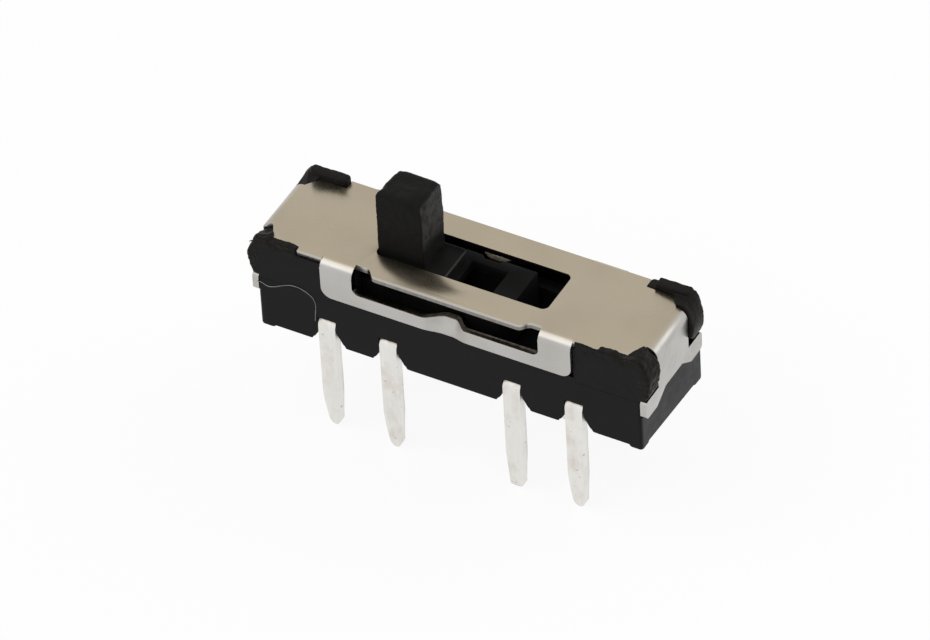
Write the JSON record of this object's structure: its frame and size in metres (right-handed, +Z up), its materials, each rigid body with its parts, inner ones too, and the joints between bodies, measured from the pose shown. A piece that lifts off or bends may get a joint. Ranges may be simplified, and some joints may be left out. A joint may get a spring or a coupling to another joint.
{
  "type": "slide switch",
  "caption": "Miniature through-hole slide switch with a folded sheet cover, moulded base, straight solder legs and a square knob that slides along a slot.",
  "frame": {"origin": "on the circuit board's surface under the base's feet, at the middle of the terminal pattern", "axes": "+X along the slider's travel and the body's length, +Z up out of the board, +Y towards the back row of terminals"},
  "size_m": [0.013, 0.0036, 0.0087],
  "materials": {
    "base_plastic": "black moulded plastic, faintly rough",
    "cover_sheet": "satin plated sheet",
    "slider_plastic": "black moulded plastic, grainy",
    "contact_strip": "plated spring strip",
    "terminal_plating": "bright tin plating"
  },
  "bodies": {
    "housing": {"base": "base_plastic", "cover": "cover_sheet", "terminal_front_1": "terminal_plating", "terminal_front_2": "terminal_plating", "terminal_front_3": "terminal_plating", "terminal_front_4": "terminal_plating", "terminal_back_1": "terminal_plating", "terminal_back_2": "terminal_plating", "terminal_back_3": "terminal_plating", "terminal_back_4": "terminal_plating"},
    "sliding_unit": {"slider": "slider_plastic", "contact_front": "contact_strip", "contact_back": "contact_strip"}
  },
  "joints": [
    {"name": "slider_slide", "type": "slide", "parent": "housing", "child": "sliding_unit", "axis": [1, 0, 0], "range_m": [0, 0.004]}
  ]
}
